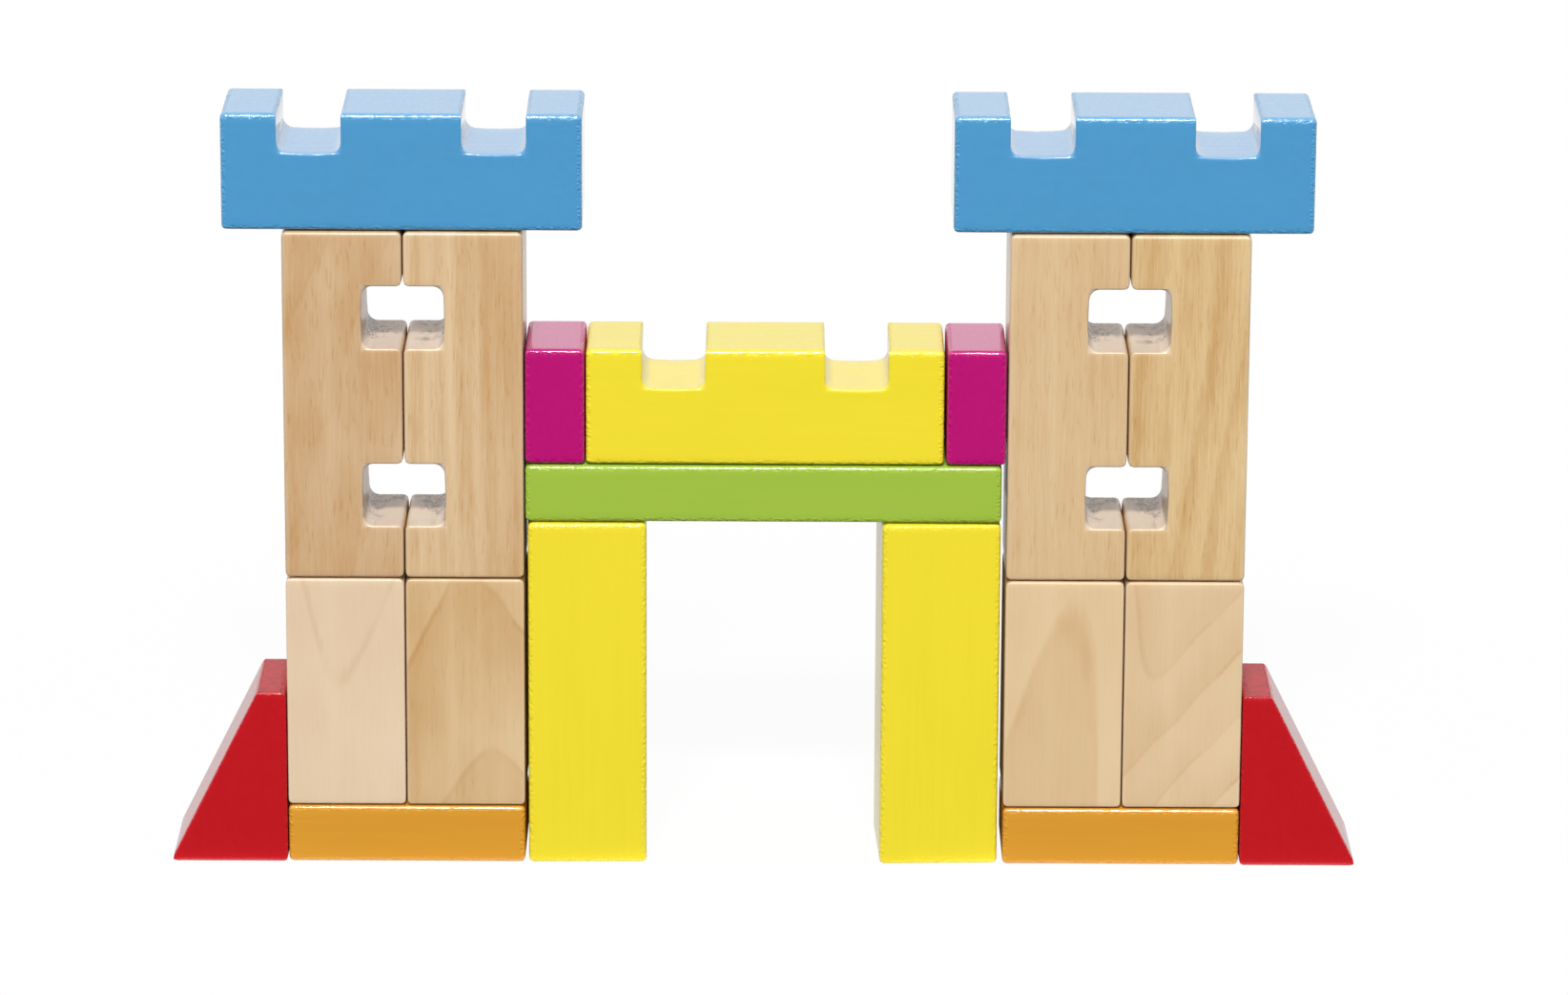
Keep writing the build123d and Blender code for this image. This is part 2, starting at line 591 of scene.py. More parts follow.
def set_block(bm, node, place, material, finish):
    """Put a finished block where its CAD node is, and let it stand for that node."""
    bm.transform(place)
    lift_underside(bm, node, bpy.context.scene.castle_sizes.course_seam)
    face_outwards(bm)
    mark_contacts(bm, node)
    name = f"{finish}_{node}"
    mesh = bpy.data.meshes.new(name)
    bm.to_mesh(mesh)
    bm.free()
    mesh.materials.append(material)
    block = bpy.data.objects.new(name, mesh)
    bpy.context.scene.collection.objects.link(block)
    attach(block, node)
    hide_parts(node)


def lying_place(node):
    """Lying on its lower face, with its left end where the CAD block's is."""
    low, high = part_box(node)
    return Matrix.Translation((low.x, (low.y + high.y) / 2, low.z))


def standing_place(node, notches_right):
    """Standing on one end, with its notches facing right or left."""
    low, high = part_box(node)
    along, up = (low.x, high.z) if notches_right else (high.x, low.z)
    turn = Matrix.Rotation(math.radians(90 if notches_right else -90), 4, "Y")
    return Matrix.Translation((along, (low.y + high.y) / 2, up)) @ turn


def turned_place(node, width, turn):
    """Standing about the CAD block's upright centre line, turned out of line."""
    low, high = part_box(node)
    centre = Matrix.Translation(((low.x + high.x) / 2, (low.y + high.y) / 2, low.z))
    return centre @ Matrix.Rotation(turn, 4, "Z") @ Matrix.Translation((-width / 2, 0, 0))


def wedge_place(node, width, slope_on_left):
    """Standing with its upright side a hair inside the CAD block's."""
    low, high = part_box(node)
    left = high.x - width + BUTTRESS_INSET if slope_on_left else low.x - BUTTRESS_INSET
    return Matrix.Translation((left, (low.y + high.y) / 2, low.z))


# ---------------------------------------------------------------- materials


class Bench:
    """Adds and joins the nodes of one material or world."""

    def __init__(self, tree):
        self.tree = tree
        tree.nodes.clear()

    def add(self, kind, inputs=None, **settings):
        """Add a node. An input is given a socket to join, or a value."""
        node = self.tree.nodes.new(kind)
        for key, value in settings.items():
            setattr(node, key, value)
        for key, value in (inputs or {}).items():
            self.fill(node.inputs[key], value)
        return node

    def fill(self, socket, value):
        """Join a socket to another one, or set its value."""
        if isinstance(value, bpy.types.NodeSocket):
            self.tree.links.new(value, socket)
        else:
            socket.default_value = value

    def math(self, operation, *values, clamp=False):
        """One sum on numbers."""
        inputs = dict(enumerate(values))
        node = self.add("ShaderNodeMath", inputs, operation=operation, use_clamp=clamp)
        return node.outputs[0]

    def vector(self, operation, *values, output=0):
        """One sum on vectors."""
        inputs = dict(enumerate(values))
        return self.add("ShaderNodeVectorMath", inputs, operation=operation).outputs[output]

    def dot(self, first, second):
        """How far one vector runs along another."""
        return self.vector("DOT_PRODUCT", first, second, output="Value")

    def length(self, vector):
        """How long a vector is."""
        return self.vector("LENGTH", vector, output="Value")

    def spread(self, value, low, high, to_low=0.0, to_high=1.0):
        """Ease a value from one range to another."""
        inputs = {0: value, 1: low, 2: high, 3: to_low, 4: to_high}
        node = self.add("ShaderNodeMapRange", inputs, interpolation_type="SMOOTHSTEP")
        return node.outputs[0]

    def grain(self, place, scale, detail=2.0, roughness=0.5):
        """Smooth noise, with features 1 / scale long on each axis."""
        stretched = self.vector("MULTIPLY", place, scale)
        inputs = {"Vector": stretched, "Scale": 1.0, "Detail": detail, "Roughness": roughness}
        return self.add("ShaderNodeTexNoise", inputs).outputs["Fac"]

    def blend(self, share, first, second):
        """Blend two colours."""
        node = self.add("ShaderNodeMix", data_type="RGBA")
        for index, value in ((0, share), (6, first), (7, second)):
            self.fill(node.inputs[index], value)
        return node.outputs[2]

    def attribute(self, name):
        """A number painted on the mesh."""
        return self.add("ShaderNodeAttribute", attribute_name=name).outputs["Fac"]


def rgba(colour):
    """A colour with full alpha."""
    return (colour[0], colour[1], colour[2], 1.0)


def new_material(name):
    """An empty node material and the bench to build it on."""
    material = bpy.data.materials.new(name)
    material.use_nodes = True
    return material, Bench(material.node_tree)


def millimetres(bench, node, turn=(0.0, 0.0, 0.0)):
    """Object coordinates in millimetres from a block's centre, turned so that Z is its grain."""
    low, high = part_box(node)
    place = bench.add("ShaderNodeTexCoord").outputs["Object"]
    inputs = {
        "Vector": place, "Location": (low + high) / 2, "Rotation": turn, "Scale": (MM, MM, MM)
    }
    return bench.add("ShaderNodeMapping", inputs, vector_type="TEXTURE").outputs[0]


def dull_share(bench, mark, amount):
    """How dull the finish is: wholly where blocks touch, and partly where it is marked."""
    marked = bench.math("MULTIPLY", bench.attribute(mark), amount)
    return bench.math("MAXIMUM", bench.attribute("contact"), marked)


def finish_material(bench, colour, roughness, height, relief, **gloss):
    """The surface shader, with a fine relief from a height."""
    bump = bench.add(
        "ShaderNodeBump", {"Strength": 1.0, "Distance": relief, "Height": height}
    )
    shader = bench.add("ShaderNodeBsdfPrincipled")
    bench.tree.links.new(colour, shader.inputs["Base Color"])
    bench.tree.links.new(roughness, shader.inputs["Roughness"])
    bench.tree.links.new(bump.outputs[0], shader.inputs["Normal"])
    for key, value in gloss.items():
        bench.fill(shader.inputs[key.replace("_", " ")], value)
    output = bench.add("ShaderNodeOutputMaterial")
    bench.tree.links.new(shader.outputs[0], output.inputs["Surface"])


LYING_GRAIN = (0.0, math.radians(90), 0.0)
UPRIGHT_GRAIN = (0.0, 0.0, 0.0)

# How many features a millimetre holds across, behind and along the grain.
PAINT_STREAKS = (0.9, 0.9, 0.03)
PAINT_CLOUDS = (0.07, 0.07, 0.03)
PAINT_DRIPS = (1.5, 1.5, 1.0)
PAINT_MOTTLE = (0.5, 0.5, 0.5)
PAINT_BREAKS = (1.4, 1.4, 1.4)
WOOD_FIBRES = (1.6, 1.6, 0.10)
WOOD_BANDS = (0.20, 0.20, 0.006)
WOOD_CLOUDS = (0.07, 0.07, 0.035)
WOOD_DASHES = (1.9, 1.9, 0.22)
RING_DRIFT = (0.045, 0.045, 0.016)
RING_FADING = (0.11, 0.11, 0.07)
SAWN_PORES = (0.42, 0.22, 0.42)
SAWN_PATCHES = (0.16, 0.12, 0.16)
SAWN_LINES = (1.1, 0.9, 0.03)

# Finishes: how deep the relief is, and how the clear layer shines.
PAINT_RELIEF = 0.36 * MM
PAINT_SHINE = {"Coat_Roughness": 0.04, "Coat_IOR": 1.85, "IOR": 1.5}
WOOD_RELIEF = 0.02 * MM
WOOD_SHINE = {"Coat_Roughness": 0.20, "Coat_IOR": 1.5, "IOR": 1.45}
RAW_END_DULLNESS, SAWN_DULLNESS = 0.62, 0.25

# Colours that wear and saws leave on natural wood. The paler edge colour is partly worn wood and
# partly a painted highlight on the rounded edges.
WORN_EDGE_AND_SHEEN = (0.80, 0.68, 0.52, 1.0)
SAWN_FACE = (0.70, 0.62, 0.55, 1.0)
BURNT_LINE = (0.25, 0.18, 0.14, 1.0)
DARK_PORE = (0.10, 0.06, 0.04, 1.0)


def paint_coat(bench, place, streaks, colour):
    """The paint's colour: a little uneven, rubbed thin in notches, dark on a raw end."""
    clouds = bench.grain(place, PAINT_CLOUDS, 2.0)
    tone = bench.math("MULTIPLY", bench.math("ADD", streaks, clouds), 0.5)
    deep = rgba([channel * 0.982 for channel in colour])
    light = rgba([min(1.0, channel * 1.018) for channel in colour])
    coat = bench.blend(bench.spread(tone, 0.3, 0.7), deep, light)
    streaky = bench.spread(streaks, 0.40, 0.60, 0.16, 0.0)
    rubbed = bench.math("MULTIPLY", bench.attribute("sawn"), streaky)
    thin = rgba([0.5 * channel + 0.35 for channel in colour])
    coat = bench.blend(rubbed, coat, thin)
    mottled = bench.spread(bench.grain(place, PAINT_MOTTLE, 3.0), 0.35, 0.65, 0.35, 1.0)
    soaked = bench.math("MULTIPLY", bench.attribute("raw_end"), mottled)
    return bench.blend(soaked, coat, rgba([0.65 * channel for channel in colour]))


def paint_surface(bench, streaks, drips):
    """The paint's height: lumpy along the edges, and streaky where a notch was sawn."""
    lumps = bench.math("SUBTRACT", drips, 0.5)
    on_edges = bench.math("ADD", bench.attribute("worn_edge_and_sheen"), 0.004)
    in_notches = bench.math("ADD", bench.attribute("sawn"), 0.05)
    grain = bench.math("MULTIPLY", bench.math("MULTIPLY", streaks, in_notches), 0.02)
    return bench.math("ADD", bench.math("MULTIPLY", lumps, on_edges), grain)


def paint_gloss(bench, place, dull, gloss):
    """How strongly the paint shines: less where it is dull, and in breaks along the edges."""
    gloss = bench.math("MULTIPLY", bench.math("SUBTRACT", 1.0, dull), gloss)
    breaks = bench.spread(bench.grain(place, PAINT_BREAKS, 1.0), 0.53, 0.44, 0.0, 0.75)
    broken = bench.math("MULTIPLY", bench.attribute("worn_edge_and_sheen"), breaks)
    return bench.math("MULTIPLY", gloss, bench.math("SUBTRACT", 1.0, broken))


def gloss_paint(slot, node, colour, turn, gloss, specular=0.3):
    """Thick glossy toy paint, with the wood's grain just showing through it."""
    material, bench = new_material(f"{slot}_{node}")
    place = millimetres(bench, node, turn)
    streaks = bench.grain(place, PAINT_STREAKS, 3.0)
    drips = bench.grain(place, PAINT_DRIPS, 1.0, 0.4)
    dull = dull_share(bench, "raw_end", RAW_END_DULLNESS)
    finish_material(
        bench,
        paint_coat(bench, place, streaks, colour),
        bench.math("MAXIMUM", bench.spread(drips, 0.3, 0.7, 0.36, 0.46), dull),
        paint_surface(bench, streaks, drips),
        PAINT_RELIEF,
        Coat_Weight=paint_gloss(bench, place, dull, gloss),
        Specular_IOR_Level=specular,
        **PAINT_SHINE,
    )
    return material


# Half the width of a natural block (millimetres).
HALF_WIDTH = 15.0

# Each natural block's own figure. The growth rings are cones round a pith that stands
# across and behind the block's centre (millimetres), leans to the right as it rises, and
# tapers: with a taper, the rings meet the front in arches or in a V. Then: how far apart
# the rings are and how far they are shifted (millimetres), how strongly their slow tone
# and their end lines show, how much they wander and fray along the fibres, how strong
# the soft bands and the short dashes along the grain are, the tone from cream to tan and
# how much deeper it is at the block's right edge, and a tint.
NATURAL_FIGURES = {
    "left_tower_outer_short_block": dict(
        pith=(-1.6, -9.0), lean=0.09, taper=-0.265, ring=44.0, shift=-6.1, slow=0.06, line=0.34,
        waves=3.0, fray=2.0, fibres=0.18, bands=0.14, clouds=0.36, dashes=0.03, tone=0.08,
        side=-0.02, tint=(1.0, 1.0, 1.0),
    ),
    "left_tower_inner_short_block": dict(
        pith=(4.2, -9.0), lean=-0.08, taper=0.50, ring=24.0, shift=0.7, slow=0.24, line=0.22,
        waves=9.0, fray=1.5, fibres=0.18, bands=0.60, clouds=0.6, dashes=0.12, tone=0.46,
        side=-0.08, tint=(1.0, 0.98, 0.84),
    ),
    "right_tower_inner_short_block": dict(
        pith=(-0.8, 0.5), lean=0.18, taper=0.10, ring=30.0, shift=11.3, slow=0.26, line=0.14,
        waves=3.4, fray=1.0, fibres=0.18, bands=0.20, clouds=0.36, dashes=0.05, tone=0.14,
        side=-0.02, tint=(1.0, 0.97, 0.84),
    ),
    "right_tower_outer_short_block": dict(
        pith=(-9.5, -12.0), lean=0.40, taper=-0.50, ring=14.0, shift=-1.4, slow=0.18, line=0.26,
        waves=9.0, fray=2.0, fibres=0.18, bands=0.24, clouds=0.4, dashes=0.04, tone=0.20,
        side=-0.06, tint=(1.0, 0.98, 0.88),
    ),
    "left_tower_outer_window_block": dict(
        pith=(-34.0, -6.0), lean=0.24, taper=-0.10, ring=17.0, shift=0.0, slow=0.12, line=0.09,
        waves=16.0, fray=5.0, fibres=0.52, bands=0.45, clouds=0.85, dashes=0.22, tone=0.66,
        side=-0.02, tint=(1.0, 0.99, 0.94),
    ),
    "left_tower_inner_window_block": dict(
        pith=(-52.0, 4.0), lean=0.0, taper=0.03, ring=5.4, shift=2.0, slow=0.20, line=0.03,
        waves=5.0, fray=9.0, fibres=0.50, bands=1.55, clouds=0.36, dashes=0.20, tone=0.44,
        side=0.24, tint=(1.0, 0.98, 0.88),
    ),
    "right_tower_inner_window_block": dict(
        pith=(-60.0, 10.0), lean=0.0, taper=0.01, ring=2.9, shift=0.0, slow=0.07, line=0.05,
        waves=5.0, fray=3.0, fibres=0.60, bands=0.55, clouds=0.36, dashes=0.20, tone=0.37,
        side=0.06, tint=(1.0, 0.975, 0.85),
    ),
    "right_tower_outer_window_block": dict(
        pith=(30.0, -12.0), lean=0.22, taper=-0.10, ring=8.0, shift=3.0, slow=0.30, line=0.07,
        waves=9.0, fray=9.0, fibres=0.75, bands=0.90, clouds=0.5, dashes=0.22, tone=0.36,
        side=-0.05, tint=(1.0, 0.97, 0.76),
    ),
}


def ring_lines(bench, place, fibres, figure):
    """The growth rings: each darkens slowly outwards and ends in a thin line."""
    drift = bench.math("SUBTRACT", bench.grain(place, RING_DRIFT, 2.0), 0.5)
    drift = bench.math("MULTIPLY", drift, figure["waves"])
    fray = bench.math("MULTIPLY", bench.math("SUBTRACT", fibres, 0.5), figure["fray"])
    across, behind = figure["pith"]
    upright = (1.0, 0.0, -figure["lean"])
    from_pith = bench.add("ShaderNodeCombineXYZ", {
        "X": bench.math("SUBTRACT", bench.dot(place, upright), across),
        "Y": bench.math("SUBTRACT", bench.dot(place, (0.0, 1.0, 0.0)), behind),
    }).outputs[0]
    grown = bench.math("ADD", bench.length(from_pith), bench.math("ADD", drift, fray))
    taper = bench.dot(place, (0.0, 0.0, figure["taper"]))
    grown = bench.math("ADD", grown, bench.math("ADD", taper, figure["shift"]))
    count = bench.math("DIVIDE", grown, figure["ring"])
    share = bench.math("FRACT", count)
    sharp = min(0.3, 0.9 / figure["ring"])
    end = bench.spread(share, 1.0, 1.0 - sharp)
    slow = bench.math("MULTIPLY", bench.spread(share, 0.15, 1.0 - sharp), end)
    line = bench.math("MULTIPLY", bench.spread(share, 1.0 - 2.2 * sharp, 1.0 - sharp), end)
    year = bench.add("ShaderNodeTexWhiteNoise", noise_dimensions="1D")
    bench.tree.links.new(bench.math("FLOOR", count), year.inputs["W"])
    strength = bench.spread(year.outputs["Value"], 0.0, 1.0, 0.5, 1.0)
    fading = bench.spread(bench.grain(place, RING_FADING, 1.0), 0.38, 0.58, 0.25, 1.0)
    slow = bench.math("MULTIPLY", slow, figure["slow"])
    line = bench.math("MULTIPLY", bench.math("MULTIPLY", line, fading), figure["line"])
    return bench.math("MULTIPLY", bench.math("ADD", slow, line), strength)


def wood_tone(bench, place, fibres, dashes, figure):
    """How deep the wood's tone is, from 0 for cream to 1 for tan."""
    bands = bench.grain(place, WOOD_BANDS, 3.0, 0.55)
    clouds = bench.grain(place, WOOD_CLOUDS, 2.0)
    tone = ring_lines(bench, place, fibres, figure)
    for value, share in ((fibres, "fibres"), (bands, "bands"), (clouds, "clouds")):
        part = bench.math("MULTIPLY", bench.math("SUBTRACT", value, 0.5), figure[share])
        tone = bench.math("ADD", tone, part)
    tone = bench.math("ADD", tone, bench.math("MULTIPLY", dashes, figure["dashes"]))
    tone = bench.math("ADD", tone, bench.dot(place, (figure["side"] / HALF_WIDTH, 0.0, 0.0)))
    return bench.math("ADD", tone, figure["tone"], clamp=True)


def saw_marks(bench, place, colour):
    """Where a notch was sawn: dark pores across the grain, scorched lines along it."""
    sawn = bench.attribute("sawn")
    end_grain = bench.attribute("end_grain")
    pores = bench.spread(bench.grain(place, SAWN_PORES, 5.0, 0.78), 0.44, 0.57)
    patches = bench.math("SUBTRACT", bench.grain(place, SAWN_PATCHES, 1.0), 0.5)
    scorched = bench.spread(bench.math("ADD", bench.attribute("scorch"), patches), 0.32, 0.66)
    pores = bench.math("MULTIPLY", bench.math("MULTIPLY", pores, scorched), end_grain)
    colour = bench.blend(bench.math("MULTIPLY", sawn, 0.45), colour, SAWN_FACE)
    lines = bench.spread(bench.grain(place, SAWN_LINES, 2.0), 0.56, 0.68)
    along = bench.math("SUBTRACT", sawn, end_grain, clamp=True)
    lines = bench.math("MULTIPLY", bench.math("MULTIPLY", lines, along), 0.5)
    colour = bench.blend(lines, colour, BURNT_LINE)
    return bench.blend(bench.math("MULTIPLY", pores, 0.9), colour, DARK_PORE)


def natural_wood(node, colours, gloss):
    """Clear-lacquered light hardwood with the block's own figure."""
    figure = NATURAL_FIGURES[node]
    material, bench = new_material(f"natural_wood_{node}")
    place = millimetres(bench, node)
    fibres = bench.grain(place, WOOD_FIBRES, 4.0, 0.6)
    dashes = bench.spread(bench.grain(place, WOOD_DASHES, 1.0), 0.60, 0.74)
    tone = wood_tone(bench, place, fibres, dashes, figure)
    pale = [channel * tint for channel, tint in zip(colours.cream_wood, figure["tint"])]
    deep = [channel * tint for channel, tint in zip(colours.tan_wood, figure["tint"])]
    colour = bench.blend(tone, rgba(pale), rgba(deep))
    # Paler on the rounded edges: partly worn wood, partly a painted highlight.
    worn_and_sheen = bench.math("MULTIPLY", bench.attribute("worn_edge_and_sheen"), 0.15)
    colour = bench.blend(worn_and_sheen, colour, WORN_EDGE_AND_SHEEN)
    dull = dull_share(bench, "sawn", SAWN_DULLNESS)
    finish_material(
        bench,
        saw_marks(bench, place, colour),
        bench.math("MAXIMUM", bench.spread(fibres, 0.3, 0.7, 0.42, 0.52), dull),
        bench.math("SUBTRACT", fibres, bench.math("MULTIPLY", dashes, 0.3)),
        WOOD_RELIEF,
        Coat_Weight=bench.math("MULTIPLY", bench.math("SUBTRACT", 1.0, dull), gloss),
        **WOOD_SHINE,
    )
    return material


# ---------------------------------------------------------------- the blocks


def set_painted(bm, node, place, slot, paint, turn, gloss, specular=0.3):
    """Paint a block and put it in its place."""
    material = gloss_paint(slot, node, paint, turn, gloss, specular)
    set_block(bm, node, place, material, "painted")


def set_natural(bm, node, place, colours, gloss):
    """Lacquer a natural block and put it in its place."""
    material = natural_wood(node, colours, gloss)
    set_block(bm, node, place, material, "natural")


def painted_block(context, node, slot, paint, turn=LYING_GRAIN, gloss=1.0):
    """A straight painted block lying along the front."""
    sizes = context.scene.castle_sizes
    size = cad_size(node)
    outline = plain_outline(size.x, size.z, sizes.painted_edge)
    bm = block_skin(node, outline, sizes.painted_rim, sizes)
    set_painted(bm, node, lying_place(node), slot, paint, turn, gloss)


def painted_battlement(context, node, slot, paint, gloss, specular=0.3):
    """A notched painted block lying with its notches up."""
    sizes = context.scene.castle_sizes
    size = cad_size(node)
    edge, lip = sizes.painted_edge, sizes.painted_lip
    outline = notched_outline(sizes, size.x, size.z, edge, lip)
    bm = block_skin(node, outline, sizes.painted_rim, sizes, sizes.painted_notch_rim)
    calm_notch_lips(bm, sizes, size.x, size.z)
    set_painted(bm, node, lying_place(node), slot, paint, LYING_GRAIN, gloss, specular)


def mark_raw_end(bm, height):
    """Mark the end grain on top of a buttress, which drinks its paint."""
    raw_end = bm.verts.layers.float.new("raw_end")
    for vert in bm.verts:
        vert[raw_end] = 1.0 if vert.co.z > height - RAW_END_DEPTH else 0.0


class CASTLE_OT_base_planks(bpy.types.Operator):
    """Lay the orange plank under each tower"""

    bl_idname = "castle.base_planks"
    bl_label = "Base Planks"

    def execute(self, context):
        paint = context.scene.castle_colours.orange
        for node in ("left_base_plank", "right_base_plank"):
            painted_block(context, node, "orange_paint", paint)
        return {"FINISHED"}


class CASTLE_OT_short_blocks(bpy.types.Operator):
    """Stand two short natural blocks on each base plank"""

    bl_idname = "castle.short_blocks"
    bl_label = "Short Tower Blocks"

    def execute(self, context):
        sizes, colours = context.scene.castle_sizes, context.scene.castle_colours
        for node in (
            "left_tower_outer_short_block",
            "left_tower_inner_short_block",
            "right_tower_inner_short_block",
            "right_tower_outer_short_block",
        ):
            size = cad_size(node)
            outline = plain_outline(size.x, size.z, sizes.natural_edge)
            bm = block_skin(node, outline, sizes.natural_fine_rim, sizes)
            set_natural(bm, node, lying_place(node), colours, gloss=0.3)
        return {"FINISHED"}


class CASTLE_OT_window_blocks(bpy.types.Operator):
    """Stand a pair of notched natural blocks on each tower, notches together, as windows"""

    bl_idname = "castle.window_blocks"
    bl_label = "Tower Window Blocks"

    def execute(self, context):
        sizes, colours = context.scene.castle_sizes, context.scene.castle_colours
        edge, lip = sizes.natural_edge, sizes.natural_lip
        for node, notches_right in (
            ("left_tower_outer_window_block", True),
            ("left_tower_inner_window_block", False),
            ("right_tower_inner_window_block", True),
            ("right_tower_outer_window_block", False),
        ):
            size = cad_size(node)
            outline = notched_outline(sizes, size.z, size.x, edge, lip)
            bm = block_skin(node, outline, sizes.natural_rim, sizes, sizes.natural_fine_rim)
            place = standing_place(node, notches_right)
            set_natural(bm, node, place, colours, gloss=0.7)
        return {"FINISHED"}


class CASTLE_OT_tower_battlements(bpy.types.Operator):
    """Lay a blue battlement across the top of each tower"""

    bl_idname = "castle.tower_battlements"
    bl_label = "Tower Battlements"

    def execute(self, context):
        paint = context.scene.castle_colours.blue
        for node in ("left_tower_battlement", "right_tower_battlement"):
            painted_battlement(context, node, "blue_paint", paint, gloss=1.0, specular=0.85)
        return {"FINISHED"}


class CASTLE_OT_gate_pillars(bpy.types.Operator):
    """Stand the two yellow pillars of the gate, each a little out of line"""

    bl_idname = "castle.gate_pillars"
    bl_label = "Gate Pillars"

    def execute(self, context):
        sizes = context.scene.castle_sizes
        paint = context.scene.castle_colours.yellow
        edge, width = sizes.painted_edge, sizes.block_width
        for node, turn in (
            ("left_gate_pillar", sizes.left_pillar_turn),
            ("right_gate_pillar", sizes.right_pillar_turn),
        ):
            outline = plain_outline(width, cad_size(node).z, edge)
            bm = block_skin(node, outline, sizes.painted_rim, sizes)
            place = turned_place(node, width, turn)
            set_painted(bm, node, place, "yellow_paint", paint, UPRIGHT_GRAIN, gloss=0.65)
        return {"FINISHED"}


class CASTLE_OT_gate_lintel(bpy.types.Operator):
    """Lay the green lintel across the two pillars"""

    bl_idname = "castle.gate_lintel"
    bl_label = "Gate Lintel"

    def execute(self, context):
        paint = context.scene.castle_colours.green
        painted_block(context, "gate_lintel", "green_paint", paint, gloss=0.7)
        return {"FINISHED"}


class CASTLE_OT_gate_battlement(bpy.types.Operator):
    """Lay the yellow battlement on the lintel"""

    bl_idname = "castle.gate_battlement"
    bl_label = "Gate Battlement"

    def execute(self, context):
        paint = context.scene.castle_colours.yellow
        painted_battlement(context, "gate_battlement", "yellow_paint", paint, gloss=0.65)
        return {"FINISHED"}


class CASTLE_OT_half_blocks(bpy.types.Operator):
    """Stand a magenta half block at each end of the gate battlement"""

    bl_idname = "castle.half_blocks"
    bl_label = "Half Blocks"

    def execute(self, context):
        paint = context.scene.castle_colours.magenta
        for node in ("left_half_block", "right_half_block"):
            painted_block(context, node, "magenta_paint", paint, UPRIGHT_GRAIN, gloss=0.8)
        return {"FINISHED"}


class CASTLE_OT_buttresses(bpy.types.Operator):
    """Lean a red wedge against the outer side of each tower"""

    bl_idname = "castle.buttresses"
    bl_label = "Buttresses"

    def execute(self, context):
        sizes = context.scene.castle_sizes
        paint = context.scene.castle_colours.red
        for node, slope_on_left in (("left_buttress", True), ("right_buttress", False)):
            height = cad_size(node).z
            outline = wedge_outline(sizes, height, slope_on_left)
            bm = block_skin(node, outline, sizes.buttress_rim, sizes)
            mark_raw_end(bm, height)
            place = wedge_place(node, sizes.block_width, slope_on_left)
            set_painted(bm, node, place, "red_paint", paint, UPRIGHT_GRAIN, gloss=0.8)
        return {"FINISHED"}


# ---------------------------------------------------------------- the stage

WHITE = (1.0, 1.0, 1.0, 1.0)
PAPER_WHITE = (0.9, 0.9, 0.9, 1.0)
TOWARDS_CAMERA = (0.0, -0.97, -0.24)
PAPER_HALF_WIDTH, PAPER_HALF_DEPTH = 1.0, 0.7
CASTLE_MIDDLE = Vector((0.0, 0.0, 0.09))

# The camera as it was set up: its distance, lens (millimetres), place and turns (radians).
USUAL_DISTANCE = 1.8
USUAL_LENS = 169.2
USUAL_PLACE = Vector((-0.0005, -1.8, 0.6007))
CAMERA_TILT, CAMERA_YAW, CAMERA_ROLL = 0.275, -0.0029, 0.0054


def mirrored_rays(bench, rays):
    """1 for what is seen in a shiny surface or through a clear one, 0 for all else."""
    return bench.math(
        "MAXIMUM", rays.outputs["Is Glossy Ray"], rays.outputs["Is Transmission Ray"]
    )


def make_room(level):
    """A white room that is dark towards the camera's back and below the horizon."""
    world = bpy.data.worlds.new("white_room")
    world.use_nodes = True
    bpy.context.scene.world = world
    bench = Bench(world.node_tree)
    direction = bench.add("ShaderNodeTexCoord").outputs["Generated"]
    height = bench.add("ShaderNodeSeparateXYZ", {0: direction}).outputs["Z"]
    dark_side = bench.spread(bench.dot(direction, TOWARDS_CAMERA), 0.45, 0.80, 1.0, 0.04)
    ceiling = bench.spread(height, 0.35, 0.80, 1.0, 0.22)
    above = bench.spread(height, -0.30, 0.0, 0.04, 1.0)
    rays = bench.add("ShaderNodeLightPath")
    light = bench.math("MULTIPLY", ceiling, level)
    white = bench.math("MAXIMUM", light, mirrored_rays(bench, rays))
    white = bench.math("MULTIPLY", white, bench.math("MULTIPLY", dark_side, above))
    seen = bench.math("MAXIMUM", white, rays.outputs["Is Camera Ray"])
    background = bench.add("ShaderNodeBackground", {"Color": WHITE, "Strength": seen})
    output = bench.add("ShaderNodeOutputWorld")
    bench.tree.links.new(background.outputs[0], output.inputs["Surface"])


def floor_material():
    """White paper that keeps a faint shadow near the castle, and is mirrored greyer there: a
    painted shadow in its reflections.
    """
    material, bench = new_material("white_paper")
    away = bench.length(bench.add("ShaderNodeTexCoord").outputs["Object"])
    rays = bench.add("ShaderNodeLightPath")
    mirrored = mirrored_rays(bench, rays)
    # Painted shadow: near the castle the paper is mirrored greyer, standing in for the shadow
    # that the castle casts on it.
    shaded = bench.math("MULTIPLY", mirrored, bench.spread(away, 0.25, 0.45, 0.22, 0.0))
    strength = bench.math("SUBTRACT", 1.0, shaded)
    paper = bench.add("ShaderNodeBsdfDiffuse", {"Color": PAPER_WHITE})
    white = bench.add("ShaderNodeEmission", {"Color": WHITE, "Strength": strength})
    seen = bench.math("MAXIMUM", rays.outputs["Is Camera Ray"], mirrored)
    share = bench.math("MULTIPLY", seen, bench.spread(away, 0.20, 0.45, 0.95, 1.0))
    mixed = bench.add("ShaderNodeMixShader", {0: share, 1: paper.outputs[0], 2: white.outputs[0]})
    output = bench.add("ShaderNodeOutputMaterial")
    bench.tree.links.new(mixed.outputs[0], output.inputs["Surface"])
    return material


